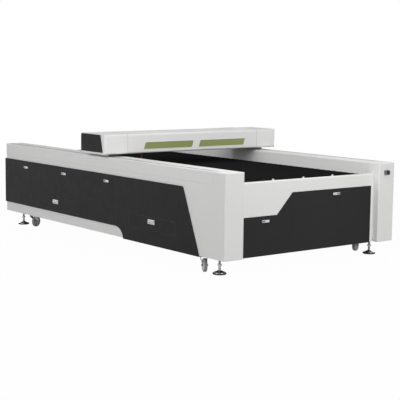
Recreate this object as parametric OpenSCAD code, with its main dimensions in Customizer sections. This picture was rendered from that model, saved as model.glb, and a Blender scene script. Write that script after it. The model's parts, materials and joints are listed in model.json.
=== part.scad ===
// Flatbed carbon dioxide laser cutter: side housings, knife-slat bed and travelling gantry.
// Millimetres, +Z up, origin on the floor under the middle. -Y is the loading end, -X the drawer side.

/* [Body] */
// Width over the two side housings
body_w = 1960; // [1860:10:2200]
// Length over the front and rear columns
body_l = 3700; // [3600:10:4200]
// Height of the side housings' top above the floor
side_top = 850; // [845:1:900]
// Height of the housings' lower edge above the floor
skirt_z = 140; // [138:1:150]
// Width of each side housing
side_w = 198; // [190:1:215]
// Thickness of the folded sheet steel
sheet = 2; // [1.5:0.5:3]
// Radius of the housings' folded edges
edge_r = 10; // [6:1:14]
// Length of the front columns
column_l = 150; // [135:1:170]
// Length of the rear columns
rear_column_l = 40; // [30:1:60]
// Height of the lift-off rail covers
cover_h = 105; // [98:1:112]
// Width of the slot that the gantry saddles pass through
slot_w = 26; // [22:1:32]
// Visible joint between neighbouring covers
joint = 1.5; // [1:0.5:3]

/* [Black panels] */
// Depth of a folded panel, proud of the shell
panel_d = 12; // [8:1:16]
// Drop of the panels' top edge below the housing top
panel_drop = 155; // [145:1:170]
// Height of the white skirt under the rear side panel
skirt_h = 96; // [80:1:110]
// Distance of the slanted edge's upper end from the front
slant_top = 557; // [500:1:600]
// Distance of the slanted edge's lower end from the front
slant_low = 324; // [300:1:400]
// Rounding of the side panels' front top corner
panel_corner = 24; // [12:1:40]
// Length that the front panels hang below the housings' lower edge
panel_hang = 6; // [3:1:8]
// Place of the joint between the rear and front side panels
panel_joint_y = -290; // [-330:1:-275]
// Place where the skirt's curve starts
curve_y = -272; // [-288:1:-250]
// Length of the skirt's curve
curve_len = 135; // [120:1:150]

/* [Front and rear] */
// Recess of the fascias behind the columns' faces
recess = 60; // [50:1:80]
// Drop of the fascias' top below the housing top
fascia_drop = 96; // [90:1:100]
// Depth of the fascias' top flange
fascia_flange = 34; // [30:1:40]
// Height of the front panel's upper edge below the fascia top
front_high = 109; // [100:1:130]
// Height of the front panel's lower shoulder below the fascia top
front_shoulder = 288; // [280:1:320]
// White strip beside the front panel
front_strip = 38; // [30:1:45]
// Left end of the front panel's upper edge
front_high_x = -204; // [-230:1:-180]
// Right end of the front panel's lower shoulder
front_low_x = -374; // [-400:1:-350]
// Width of the seat flange behind a lift-off panel
seat_w = 15; // [12:1:20]

/* [Frame] */
// Width of the bottom rails
bottom_w = 120; // [110:1:125]
// Height of the bottom rails and lower cross beams
bottom_h = 60; // [50:1:60]
// Side of the square posts, top rails and cross beams
post = 60; // [50:1:60]
// Distance of the rail line from the housing's outer face
rail_in = 45; // [44:1:50]
// Drop of the top rails' deck below the housing top
deck_drop = 130; // [128:1:135]
// Distance of the end posts from the body's ends
post_end = 186; // [184:1:190]
// Gap left for the weld between tubes
weld = 0.2; // [0.1:0.1:0.3]

/* [Bed] */
// Drop of the slat tops below the housing top
slat_drop = 112; // [108:1:116]
// Spacing of the knife slats
slat_pitch = 75; // [60:1:100]
// Thickness of a slat
slat_t = 3; // [2:0.5:4]
// Height of a slat
slat_h = 48; // [44:1:52]
// Distance of the last slats from the body's ends
slat_end = 290; // [285:1:320]
// Distance of the ball rail's middle behind the front fascia
ball_in = 90; // [86:1:94]
// Drop of the ball rail below the fascia's top
ball_drop = 12; // [8:1:16]
// Distance of the end balls on the front beam from the side housings
ball_edge = 90; // [60:1:160]
// Radius of a loading ball
ball_r = 8.5; // [7:0.5:10]

/* [Drawers] */
// Half the distance between the drawers' middles, as a share of half the body's length
drawer_share = 0.4445; // [0.43:0.0005:0.45]
// Shift of both drawers towards the front
drawer_shift = 28; // [0:1:32]
// Width of a drawer's face
face_w = 692; // [650:1:700]
// Height of a drawer's face
face_h = 114; // [110:1:120]
// Height of a drawer face's lower edge above the floor
face_z = 266; // [262:1:270]
// Depth of a drawer
drawer_l = 1744; // [1600:1:1750]

/* [Gantry] */
// Overhang of the gantry's end panels past the side housings
gantry_over = 58; // [52:1:120]
// Depth of the gantry along the bed
gantry_d = 406; // [390:1:420]
// Height of the gantry's cover
gantry_h = 183; // [178:1:200]
// Gap between the housing tops and the gantry
gantry_gap = 25; // [22:1:35]
// Place of the gantry's middle along the bed at rest
gantry_y = 35; // [-200:1:200]
// Radius of the gantry cover's folded edges
gantry_r = 18; // [12:1:22]
// Length of a viewing window
window_l = 568; // [450:1:600]
// Height of a viewing window
window_h = 68; // [50:1:76]
// Lean of a viewing window's ends
window_lean = 22; // [0:1:30]
// Distance of a window's middle from the gantry's middle
window_x = 323; // [310:1:360]
// Shift of both windows away from the drawer side
window_shift = 13; // [0:1:20]
// Height of the raised lid on the gantry
lid_h = 6; // [4:1:12]
// Distance of the cutting head from the gantry's left seam at rest
head_in = 217; // [140:1:1400]
// Radius of the lens tube
lens_r = 5.5; // [5:0.5:8]
// Radius of the laser tube
tube_r = 40; // [36:1:42]

/* [Feet and castors] */
// Distance of the feet from the housing's outer face
foot_in = 102; // [98:1:106]
// Radius of a foot's pad
pad_r = 58; // [50:1:62]
// Radius of a foot's threaded stem
stem_r = 11; // [9:0.5:12]
// Distance of the castors from the housing's outer face
castor_in = 72; // [70:1:76]
// Distance of the front castors from the body's front
castor_front = 362; // [360:1:390]
// Distance of the rear castors from the body's rear
castor_rear = 450; // [400:1:470]
// Radius of a castor wheel
wheel_r = 57; // [50:1:58]
// Width of a castor wheel
wheel_w = 32; // [28:1:36]
// Gap between a castor wheel and the floor
wheel_gap = 3; // [2:0.5:6]
// Trail of a castor wheel behind its swivel
trail = 45; // [40:1:48]
// Turn of each castor at rest: front left, front right, rear left, rear right
castor_turn = [244, 202, 23, 20]; // [0:1:359]

/* [Fittings] */
// Length of a latch paddle
latch_l = 84; // [76:1:92]
// Height of a latch paddle
latch_h = 21; // [18:1:26]
// Thickness of a latch paddle
latch_t = 7; // [6:0.5:9]
// Depth that the main switch stands proud of the column
switch_d = 28; // [24:1:32]
// Outer radius of the exhaust spigot
spigot_r = 75; // [60:1:80]
// Radius of the drive shaft
shaft_r = 10; // [8:0.5:12]
// Distance of the belt pulleys from the body's ends
belt_end = 210; // [205:1:215]
// Length, depth and height of the laser power supply
supply = [380, 160, 220]; // [100:1:400]
// Length, depth and height of the motion controller
controller = [180, 80, 140]; // [60:1:250]
// Radius of the belt pulleys
pulley_r = 25; // [22:1:28]

/* [Hidden] */
$fn = 64;

white = "#e2e2e0";
black = "#2d2d2e";
steel = "#9a9da0";
silver = "#c9cacb";

// Overshoot of a cutting solid, and the clearances of seats, sliding faces and turning pins
cut = 1;
slide_gap = 0.3;
pin_gap = 0.05;

// Main planes
half_l = body_l / 2;
drawer_y = half_l * drawer_share;
drawer_rear = drawer_y - drawer_shift;
drawer_front = -drawer_y - drawer_shift;
side_x = body_w / 2;
inner_x = side_x - side_w;
cover_y0 = -half_l + column_l;
cover_y1 = half_l - rear_column_l;
seam_z = side_top - cover_h;
cover_low = side_top - slat_drop - 5;
rail_x = side_x - rail_in;
slot_x0 = rail_x - slot_w / 2;
slot_x1 = rail_x + slot_w / 2;

// Frame levels
post_x0 = rail_x - post / 2;
post_x1 = rail_x + post / 2;
bottom_x0 = post_x1 - bottom_w;
frame_z = skirt_z + sheet;
bottom_z = frame_z + bottom_h;
deck_z = side_top - deck_drop;
slat_z = side_top - slat_drop;
bed_z = slat_z - slat_h - 50;
beam_low = bed_z - post;
post_end_y = half_l - post_end;
post_clear = 100;
post_mid_y = drawer_y + face_w / 2 + post_clear;
post_rows = [-post_end_y, -post_mid_y, 0, post_mid_y, post_end_y];
bed_rail_w = 40;
shelf_t = 3;
bed_end = half_l - slat_end + 40;
foot_x = side_x - foot_in;
foot_y = post_end_y;
castor_x = side_x - castor_in;
castor_rows = [-half_l + castor_front, half_l - castor_rear];

// Panels
panel_top = side_top - panel_drop;
panel_low = skirt_z + skirt_h;
panel_base = skirt_z - panel_hang;
panel_rear = half_l - joint / 2;
latch_z = panel_top - 63;
latch_rows = [half_l * 0.753, half_l * 0.343, -half_l * 0.071];
fascia_y = half_l - recess;
fascia_top = side_top - fascia_drop;
flange_y = fascia_y - fascia_flange;
panel_seat_y = fascia_y - panel_d + sheet;

ball_pitch = (inner_x - ball_edge) / 2;
ball_y = -fascia_y + ball_in;
ball_z = fascia_top - ball_drop;

// Drawers
box_side = 7;
box_low = 4;
box_w = face_w - 2 * box_side;
box_z = face_z + box_low;
box_top = face_z + face_h - 2 * box_low;
drawer_gap = 1.5;
pull_l = 100;
pull_h = 40;
pull_z = face_z + face_h * 0.65;
pull_wall = 1.5;
grip_w = 80;
grip_low = pull_z - 13;
grip_high = pull_z + 8;

// Gantry levels
gantry_z = side_top + gantry_gap;
gantry_top = gantry_z + gantry_h;
window_z = gantry_z + 68.5;
gantry_y0 = gantry_y - gantry_d / 2;
gantry_y1 = gantry_y + gantry_d / 2;
gantry_x = side_x + gantry_over;
gantry_seam = inner_x;
end_panel_t = sheet;
beam_w = 100;
beam_h = 80;
beam_back = 158;
beam_y = gantry_y0 + beam_back;
beam_z = gantry_z + 20;
beam_end = side_x + 5;
cover_return = 20;
tube_y = beam_y + beam_w + tube_r + 10;
tube_z = gantry_top - sheet - tube_r - 31;
tube_over = 58;
tube_l = 2 * (gantry_seam + tube_over);

// Rail blocks and saddles
rail_w = 20;
rail_h = 18;
block_w = 44;
block_l = 70;
block_z = deck_z + 30;
block_out = 110;
saddle_l = 300;
saddle_t = 12;
neck_t = 14;
neck_l = 200;

// Belt drive
belt_x = post_x0 - 55;
belt_w = 16;
belt_t = 2;
belt_y = half_l - belt_end;
belt_z = deck_z - post / 2;
belt_r = pulley_r + slide_gap;
bracket_w = post_x0 - belt_x - belt_w / 2 - 8;

// Head
head_x = -gantry_seam + head_in;
head_y = beam_y - 65;
x_rail_t = 12;
x_rail_h = 20;
x_rail_z = beam_z + 30;
x_rail_in = 72;
x_rail_end = gantry_seam - x_rail_in;
head_top = gantry_top - 58;
nozzle_z = slat_z + 20;

// Castor levels
axle_z = wheel_gap + wheel_r;
axle_r = 5;
king_r = 8;
plate_t = 6;
race_t = 6;
race_z = frame_z - plate_t - race_t;
crown_t = 6;
leg_t = 4;

// Points along the skirt's quarter ellipse between two angles
function curve_points(a, b) = [for (i = [0:8]) let (t = a + (b - a) * i / 8)
  [curve_y - curve_len * sin(t), panel_base + (panel_low - panel_base) * cos(t)]];

// Points that round the corner c between the edges to a and b, starting r before it
function eased(a, c, b, r) = let (p = c + r * (a - c) / norm(a - c), q = c + r * (b - c) / norm(b - c))
  [for (t = [0:0.2:1]) (1 - t) * (1 - t) * p + 2 * t * (1 - t) * c + t * t * q];

// Angle on that curve where it reaches a given place along the side
function curve_angle(y) = asin((curve_y - y) / curve_len);

function rect(x0, y0, x1, y1) = [[x0, y0], [x1, y0], [x1, y1], [x0, y1]];

function turn_area(p) = let (n = len(p))
  [for (i = [0:n - 1]) p[i][0] * p[(i + 1) % n][1] - p[(i + 1) % n][0] * p[i][1]] * [for (i = p) 1];

// Outline moved inwards by d along every edge, outwards where d is negative
function inset(p, d) = let (n = len(p), s = sign(turn_area(p))) [for (i = [0:n - 1])
  let (u = p[i] - p[(i + n - 1) % n], v = p[(i + 1) % n] - p[i],
    a = s * [-u[1], u[0]] / norm(u), b = s * [-v[1], v[0]] / norm(v))
  p[i] + d * (a + b) / (1 + a * b)];

slant_points = let (foot = [-half_l + slant_low, panel_base], head = [-half_l + slant_top, panel_top])
  concat([foot], eased(foot, head, [curve_y, panel_top], panel_corner));
rear_side_outline = concat([[panel_joint_y + joint / 2, panel_top], [panel_rear, panel_top],
  [panel_rear, panel_low]], curve_points(0, curve_angle(panel_joint_y + joint / 2)));
front_side_outline = concat([[panel_joint_y - joint / 2, panel_top]],
  curve_points(curve_angle(panel_joint_y - joint / 2), 90), slant_points);
whole_side_outline = concat([[panel_rear, panel_top], [panel_rear, panel_low]], curve_points(0, 90),
  slant_points);
front_outline = let (x0 = -inner_x + 3, x1 = inner_x - front_strip, z0 = panel_base,
  z1 = fascia_top - front_high, zs = fascia_top - front_shoulder)
  [[x0, z0], [x1, z0], [x1, z1], [front_high_x, z1], [front_low_x, zs], [x0, zs]];
rear_outline = rect(-inner_x + front_strip, panel_base, inner_x - front_strip, fascia_top - front_high);

module both() {
  children();
  mirror([1, 0, 0]) children();
}

module ends() {
  children();
  mirror([0, 1, 0]) children();
}

module left() {
  mirror([1, 0, 0]) children();
}

module span(x0, x1, y0, y1, z0, z1) {
  translate([x0, y0, z0]) cube([x1 - x0, y1 - y0, z1 - z0]);
}

// A drawing in X and Z, carried along Y
module along_y(y0, y1) {
  translate([0, y1, 0]) rotate([90, 0, 0]) linear_extrude(y1 - y0) children();
}

// A drawing in Y and Z, carried along X
module along_x(x0, x1) {
  translate([x0, 0, 0]) rotate([90, 0, 90]) linear_extrude(x1 - x0) children();
}

module round_rect(x0, y0, x1, y1, r) {
  translate([x0 + r, y0]) square([x1 - x0 - 2 * r, y1 - y0]);
  translate([x0, y0 + r]) square([x1 - x0, y1 - y0 - 2 * r]);
  for (x = [x0 + r, x1 - r], y = [y0 + r, y1 - r]) translate([x, y]) circle(r);
}

// A box with every edge rounded
module soft_box(x0, x1, y0, y1, z0, z1, r) {
  intersection() {
    along_y(y0, y1) round_rect(x0, z0, x1, z1, r);
    along_x(x0, x1) round_rect(y0, z0, y1, z1, r);
    translate([0, 0, z0]) linear_extrude(z1 - z0) round_rect(x0, y0, x1, y1, r);
  }
}

// Section of a folded angle: a top leg from x_in to x_out and a side leg down to low, with a rounded fold
module angle_section(x_in, x_out, low, top, r) {
  far = 3 * r;
  intersection() {
    translate([x_in, low]) square([x_out - x_in, top - low]);
    difference() {
      round_rect(x_in - far, low - far, x_out, top, r);
      round_rect(x_in - 2 * far, low - 2 * far, x_out - sheet, top - sheet, r - sheet);
    }
  }
}

// A folded panel, open at the back, with its face at z = panel_d
module pan(outline, holes = []) {
  difference() {
    linear_extrude(panel_d) polygon(outline);
    translate([0, 0, -cut]) linear_extrude(panel_d - sheet + cut) difference() {
      polygon(inset(outline, sheet));
      for (h = holes) polygon(inset(h, -sheet));
    }
    for (h = holes) translate([0, 0, -cut]) linear_extrude(panel_d + 2 * cut) polygon(h);
  }
}

module side_pan(outline, holes = []) {
  translate([side_x, 0, 0]) rotate([90, 0, 90]) pan(outline, holes);
}

// Outline of a drawer's face, grown by the gap round it
function drawer_hole(c) = rect(c - face_w / 2 - drawer_gap, face_z - drawer_gap,
  c + face_w / 2 + drawer_gap, face_z + face_h + drawer_gap);

module bottom_rail() {
  difference() {
    span(bottom_x0, post_x1, -post_end_y - post_end + recess + sheet, post_end_y + post_end - recess - sheet,
      frame_z, bottom_z);
    ends() translate([foot_x, foot_y, frame_z - cut]) cylinder(r = stem_r + pin_gap, h = bottom_h);
  }
}

module base_frame() {
  tab = 40;
  ball_rail_w = 70;
  ball_rail_t = 16;
  ball_web_t = 6;
  color("#4a4c4f") {
    both() {
      bottom_rail();
      span(post_x0, post_x1, -post_end_y - post / 2, post_end_y + post / 2, deck_z - post, deck_z);
      span(inner_x + sheet, inner_x + sheet + bed_rail_w, -bed_end, bed_end, bed_z + weld, slat_z + 5);
      for (y = post_rows) {
        span(post_x0, post_x1, y - post / 2, y + post / 2, bottom_z + weld, deck_z - post - weld);
        span(post_x1 + weld, side_x - sheet, y - tab / 2, y + tab / 2, bottom_z + 2 * tab, bottom_z + 3 * tab);
      }
    }
    for (y = post_rows) {
      span(-bottom_x0 + weld, bottom_x0 - weld, y - post / 2, y + post / 2, frame_z, bottom_z);
      span(-post_x0 + weld, post_x0 - weld, y - post / 2, y + post / 2, beam_low, bed_z);
    }
    span(-post, inner_x, -post_end_y - post / 2, -post_mid_y + post / 2, bottom_z + weld, bottom_z + shelf_t);
    span(-inner_x + joint, inner_x - joint, ball_y - ball_rail_w / 2, ball_y + ball_rail_w / 2,
      ball_z - ball_rail_t, ball_z);
    span(-inner_x + joint, inner_x - joint, -post_end_y - post / 2, -post_end_y - post / 2 + ball_web_t,
      bed_z + weld, ball_z - ball_rail_t - weld);
  }
}

module side_shell() {
  lip = 20;
  difference() {
    soft_box(inner_x, side_x, -half_l, half_l, skirt_z - 2 * edge_r, side_top, edge_r);
    soft_box(inner_x + sheet, side_x - sheet, -half_l + sheet, half_l - sheet, skirt_z - 3 * edge_r,
      side_top - sheet, edge_r - sheet);
    span(inner_x - cut, side_x + cut, -half_l - cut, half_l + cut, skirt_z - 4 * edge_r, skirt_z);
    span(inner_x - cut, side_x + cut, cover_y0, cover_y1, seam_z, side_top + cut);
    span(inner_x - cut, inner_x + sheet + cut, cover_y0, flange_y, skirt_z - cut, seam_z + cut);
    span(inner_x - cut, inner_x + sheet + cut, flange_y - cut, cover_y1, cover_low - joint, seam_z + cut);
  }
  span(side_x - 2 * sheet, side_x - sheet, cover_y0 + joint, cover_y1 - joint, seam_z - lip, seam_z + lip);
}

module left_side_shell() {
  window_end = 90;
  color(white) left() difference() {
    side_shell();
    for (c = [drawer_front, drawer_rear]) span(side_x - sheet - cut, side_x + cut, c - box_w / 2 - drawer_gap,
      c + box_w / 2 + drawer_gap, box_z - drawer_gap, box_top + drawer_gap);
    span(side_x - sheet - cut, side_x + cut, post / 2 + window_end, post_mid_y - post / 2 - window_end,
      face_z + face_h + window_end / 2, latch_z - window_end / 2);
  }
}

module right_side_shell() {
  color(white) side_shell();
}

module rail_covers() {
  color(white) both() along_y(cover_y0 + joint, cover_y1 - joint) {
    angle_section(slot_x1, side_x, seam_z + joint, side_top, edge_r);
    mirror([1, 0]) angle_section(-slot_x0, -inner_x, cover_low, side_top, edge_r);
  }
}

module left_front_panel() {
  color(black) left() side_pan(front_side_outline, [drawer_hole(drawer_front)]);
}

module left_access_panel() {
  color(black) left() side_pan(rear_side_outline, [drawer_hole(drawer_rear)]);
}

module right_side_panel() {
  color(black) side_pan(whole_side_outline);
}

// White beam across the front, round an opening with a seat flange for the panel in it
module fascia(outline) {
  opening = inset(outline, -joint);
  difference() {
    along_x(-inner_x, inner_x) mirror([1, 0]) angle_section(flange_y, fascia_y, skirt_z, fascia_top, edge_r);
    along_y(-fascia_y - cut, -flange_y + cut) intersection() {
      polygon(opening);
      translate([-inner_x - cut, 0]) square([2 * inner_x + 2 * cut, fascia_top - edge_r]);
    }
  }
  intersection() {
    span(-inner_x, inner_x, -fascia_y, -panel_seat_y + sheet, skirt_z, fascia_top - edge_r);
    union() {
      along_y(-fascia_y, -panel_seat_y + sheet) difference() {
        polygon(inset(opening, -sheet));
        polygon(opening);
      }
      along_y(-panel_seat_y, -panel_seat_y + sheet) difference() {
        polygon(inset(opening, -sheet));
        polygon(inset(opening, seat_w));
      }
    }
  }
}

module front_fascia() {
  color(white) fascia(front_outline);
}

module rear_fascia() {
  color(white) mirror([0, 1, 0]) fascia(rear_outline);
}

module front_access_panel() {
  color(black) translate([0, -panel_seat_y, 0]) rotate([90, 0, 0]) pan(front_outline);
}

module rear_panel() {
  color(black) difference() {
    mirror([0, 1, 0]) translate([0, -panel_seat_y, 0]) rotate([90, 0, 0]) pan(rear_outline);
    translate([0, panel_seat_y - cut, spigot_z]) rotate([-90, 0, 0])
      cylinder(r = spigot_r - sheet, h = recess);
  }
}

spigot_z = (skirt_z + fascia_top - front_high) / 2;

module exhaust_spigot() {
  flange_r = spigot_r + 20;
  flange_t = 3;
  length = half_l + switch_d - panel_seat_y - panel_d;
  color(steel) translate([0, panel_seat_y + panel_d, spigot_z]) rotate([-90, 0, 0]) difference() {
    union() {
      cylinder(r = flange_r, h = flange_t);
      cylinder(r = spigot_r, h = length);
    }
    translate([0, 0, -cut]) cylinder(r = spigot_r - sheet, h = length + 2 * cut);
  }
}

slat_count = floor(2 * (half_l - slat_end) / slat_pitch);
slat_rows = [for (i = [0:slat_count]) (i - slat_count / 2) * slat_pitch];
slat_x = inner_x - 12;

module bed_combs() {
  comb_t = 8;
  comb_top = slat_z - slat_h / 2;
  color("#3a3c3f") difference() {
    for (x = [-slat_x + 30, 0, slat_x - 30])
      span(x - comb_t / 2, x + comb_t / 2, -bed_end, bed_end, bed_z, comb_top);
    for (y = slat_rows) span(-inner_x, inner_x, y - slat_t / 2 - slide_gap, y + slat_t / 2 + slide_gap,
      slat_z - slat_h, comb_top + cut);
  }
}

module knife_slats() {
  tip = 8;
  color("#232426") for (y = slat_rows) along_x(-slat_x, slat_x)
    polygon([[y - slat_t / 2, slat_z - slat_h], [y + slat_t / 2, slat_z - slat_h],
      [y + slat_t / 2, slat_z - tip], [y, slat_z], [y - slat_t / 2, slat_z - tip]]);
}

// Folded sheets that slope from the cross beams to the drawers
module scrap_hopper() {
  low = box_top + 18;
  half = box_w / 2 - 10;
  end = post_end_y - post / 2 + 12;
  rise = bed_end - 60;
  color("#2b2c2e") along_x(-slat_x, slat_x) {
    slope([[-end, beam_low], [-rise, beam_low], [drawer_front - half, low]]);
    slope([[drawer_front + half, low], [-post / 2, beam_low], [post / 2, beam_low],
      [drawer_rear - half, low]]);
    slope([[drawer_rear + half, low], [rise, beam_low], [end, beam_low]]);
  }
}

// Section of a sheet whose upper side follows the given points
module slope(p) {
  n = len(p) - 1;
  polygon(concat(p, [for (i = [0:n]) p[n - i] - [0, sheet]]));
}

module ball_transfers() {
  cup_h = ball_r;
  cup_r = ball_r + 6;
  seat_r = ball_r + slide_gap;
  for (i = [-2:2]) translate([i * ball_pitch, ball_y, ball_z]) {
    color(silver) difference() {
      cylinder(r = cup_r, h = cup_h);
      translate([0, 0, seat_r]) sphere(seat_r);
    }
    color(white) translate([0, 0, seat_r]) sphere(ball_r);
  }
}

module drawer_runners() {
  runner_t = 3;
  foot_w = 30;
  side_gap = 1;
  guide_h = 20;
  color(steel) for (c = [drawer_front, drawer_rear]) translate([0, c, 0]) ends() along_x(-post_x1, post_x1) {
    web = box_w / 2 + side_gap;
    translate([web, bottom_z]) square([runner_t, box_z + guide_h - bottom_z]);
    translate([web, bottom_z]) square([foot_w, runner_t]);
    translate([web - foot_w, box_z - runner_t]) square([foot_w + runner_t, runner_t]);
  }
}

module drawer(c) {
  seat = pull_wall + slide_gap;
  color(black) left() translate([0, c, 0]) {
    difference() {
      span(side_x, side_x + panel_d, -face_w / 2, face_w / 2, face_z, face_z + face_h);
      span(side_x, side_x + panel_d + cut, -grip_w / 2 - seat, grip_w / 2 + seat, grip_low - seat,
        grip_high + seat);
    }
    difference() {
      span(side_x - drawer_l, side_x, -box_w / 2, box_w / 2, box_z, box_top);
      span(side_x - drawer_l + sheet, side_x - sheet, -box_w / 2 + sheet, box_w / 2 - sheet, box_z + sheet,
        box_top + cut);
    }
  }
}

// Recessed pull: a pressed tray in the drawer's face, its rim and a short lip over the upper edge
module pull(c) {
  rim_t = 2.5;
  lip_r = 10;
  face = side_x + panel_d;
  lip_x = face + rim_t;
  lip_top = grip_high + pull_wall;
  half = grip_w / 2 + pull_wall;
  color(silver) left() translate([0, c, 0]) {
    difference() {
      union() {
        span(face, lip_x, -pull_l / 2, pull_l / 2, pull_z - pull_h / 2, pull_z + pull_h / 2);
        span(side_x + slide_gap, lip_x, -half, half, grip_low - pull_wall, lip_top);
      }
      span(side_x + slide_gap + pull_wall, lip_x + cut, -grip_w / 2, grip_w / 2, grip_low, grip_high);
    }
    intersection() {
      span(lip_x - cut, lip_x + lip_r, -half, half, lip_top - lip_r, lip_top);
      translate([lip_x, -half, lip_top - lip_r]) rotate([-90, 0, 0]) difference() {
        cylinder(r = lip_r, h = 2 * half);
        translate([0, 0, pull_wall]) cylinder(r = lip_r - pull_wall, h = grip_w);
      }
    }
  }
}

module rear_drawer() {
  drawer(drawer_rear);
}

module front_drawer() {
  drawer(drawer_front);
}

module rear_drawer_pull() {
  pull(drawer_rear);
}

module front_drawer_pull() {
  pull(drawer_front);
}

// Latch paddle, hinged on a barrel at its own origin and lying along +X, with its lock at the far end
module latch() {
  barrel_r = latch_t / 2;
  lock_r = latch_h * 0.27;
  lock_t = 1.5;
  end_r = latch_h / 2;
  color(silver) translate([-latch_l / 2 + barrel_r, 0, slide_gap]) {
    translate([0, latch_h * 0.4, barrel_r]) rotate([90, 0, 0]) cylinder(r = barrel_r, h = latch_h * 0.8);
    linear_extrude(latch_t) {
      polygon([[0, -latch_h * 0.4], [end_r / 2, -latch_h / 2], [latch_l - barrel_r - end_r, -latch_h / 2],
        [latch_l - barrel_r - end_r, latch_h / 2], [end_r / 2, latch_h / 2], [0, latch_h * 0.4]]);
      translate([latch_l - barrel_r - end_r, 0]) circle(end_r);
    }
    translate([latch_l - barrel_r - end_r, 0, latch_t]) cylinder(r = lock_r, h = lock_t);
  }
}

module left_latch(y) {
  left() translate([side_x + panel_d, y, latch_z]) rotate([90, 0, 90]) latch();
}

module left_latch_1() {
  left_latch(latch_rows[0]);
}

module left_latch_2() {
  left_latch(latch_rows[1]);
}

module left_latch_3() {
  left_latch(latch_rows[2]);
}

front_latch_drop = 42;
low_latch_in = 73;
high_latch_in = 21;
front_face_y = -panel_seat_y - panel_d;

module front_latch_1() {
  translate([(front_low_x - inner_x) / 2 + low_latch_in, front_face_y,
    fascia_top - front_shoulder - front_latch_drop]) rotate([90, 0, 0]) mirror([1, 0, 0]) latch();
}

module front_latch_2() {
  translate([(front_high_x + inner_x) / 2 + high_latch_in, front_face_y,
    fascia_top - front_high - front_latch_drop]) rotate([90, 0, 0]) latch();
}

switch_x = side_x - side_w / 2 - 5;
switch_drop = 88;
switch_z = side_top - switch_drop;
switch_plate_t = 8;
switch_plate_w = 62;
switch_plate_h = 44;
switch_knob_out = 11;

module switch_plate() {
  color("#85888b") translate([switch_x, -half_l, switch_z]) rotate([90, 0, 0]) linear_extrude(switch_plate_t)
    round_rect(-switch_plate_w / 2, -switch_plate_h / 2, switch_plate_w / 2, switch_plate_h / 2, 4);
}

module switch_knob() {
  knob_r = 16;
  base_t = 5;
  grip_w = 10;
  front = switch_d - switch_plate_t - slide_gap;
  color("#1f2022") translate([switch_x + switch_knob_out, -half_l - switch_plate_t - slide_gap, switch_z])
    rotate([90, 0, 0]) {
    cylinder(r = knob_r, h = base_t);
    translate([-grip_w / 2, -knob_r, 0]) intersection() {
      cube([grip_w, 2 * knob_r, front]);
      translate([grip_w / 2, knob_r, 0]) cylinder(r = knob_r, h = front);
    }
  }
}

module y_rails() {
  color(silver) both()
    span(rail_x - rail_w / 2, rail_x + rail_w / 2, -belt_y, belt_y, deck_z, deck_z + rail_h);
}

module belt_ring(r) {
  for (y = [-belt_y, belt_y]) translate([y, belt_z]) circle(r);
  translate([-belt_y, belt_z - r]) square([2 * belt_y, 2 * r]);
}

module y_belts() {
  color("#1d1d1e") both() along_x(belt_x - belt_w / 2, belt_x + belt_w / 2) difference() {
    belt_ring(belt_r + belt_t);
    belt_ring(belt_r);
  }
}

module drive_shaft() {
  shaft_end = post_x0 - 1;
  color(silver) translate([0, belt_y, belt_z]) rotate([0, 90, 0]) {
    translate([0, 0, -shaft_end]) cylinder(r = shaft_r, h = 2 * shaft_end);
    for (x = [-belt_x, belt_x]) translate([0, 0, x - belt_w / 2]) cylinder(r = pulley_r, h = belt_w);
  }
}

idler_pin_r = 8;

module belt_idlers() {
  color(silver) both() translate([belt_x - belt_w / 2, -belt_y, belt_z]) rotate([0, 90, 0]) difference() {
    cylinder(r = pulley_r, h = belt_w);
    translate([0, 0, -cut]) cylinder(r = idler_pin_r + pin_gap, h = belt_w + 2 * cut);
  }
}

// Shaft bearings at the rear and idler brackets with their pins at the front
module belt_brackets() {
  half = 25;
  color("#5a5d61") both() {
    difference() {
      span(post_x0 - bracket_w, post_x0, belt_y - half, belt_y + half, deck_z - post, deck_z);
      translate([post_x0 - bracket_w - cut, belt_y, belt_z]) rotate([0, 90, 0])
        cylinder(r = shaft_r + pin_gap, h = bracket_w + 2 * cut);
    }
    span(post_x0 - bracket_w, post_x0, -belt_y - half, -belt_y + half, deck_z - post, deck_z);
    translate([belt_x - belt_w, -belt_y, belt_z]) rotate([0, 90, 0])
      cylinder(r = idler_pin_r, h = post_x0 - bracket_w - belt_x + belt_w + cut);
  }
}

// Right-angle gearbox on the rear cross beam, with the motor behind it
module y_motor() {
  box = 120;
  half = 40;
  motor = 80;
  x0 = 330;
  motor_y = post_end_y - post / 2 + 20;
  color("#2f3134") {
    difference() {
      span(x0, x0 + box, belt_y - half, motor_y, bed_z, bed_z + 2 * (belt_z - bed_z));
      translate([x0 - cut, belt_y, belt_z]) rotate([0, 90, 0])
        cylinder(r = shaft_r + pin_gap, h = box + 2 * cut);
    }
    span(x0 + 20, x0 + 20 + motor, motor_y, fascia_y - panel_d - 10, bed_z + 10, bed_z + 10 + motor);
  }
}

module electrics() {
  shelf_y = -post_end_y + post * 0.8;
  color("#b4b6b8") {
    translate([inner_x * 0.32, shelf_y, bottom_z + shelf_t]) cube(supply);
    translate([0, shelf_y, bottom_z + shelf_t]) cube(controller);
  }
}

// Main beam with the bulkheads that hold the laser tube and carry the covers
module gantry_beam() {
  plate = 8;
  end_over = 98;
  end_x = gantry_seam + end_over;
  inner_y = gantry_y1 - sheet;
  color("#55585c") {
    span(-beam_end, beam_end, beam_y, beam_y + beam_w, beam_z, beam_z + beam_h);
    for (x = [-end_x, -gantry_seam * 0.55, 0, gantry_seam * 0.55, end_x]) difference() {
      span(x - plate / 2, x + plate / 2, beam_y, inner_y, beam_z, gantry_top - sheet);
      translate([x - plate, tube_y, tube_z]) rotate([0, 90, 0])
        cylinder(r = tube_r + slide_gap, h = 2 * plate);
      span(x - plate, x + plate, inner_y - gantry_r, inner_y + cut, gantry_top - sheet - gantry_r, gantry_top);
    }
  }
}

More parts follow.
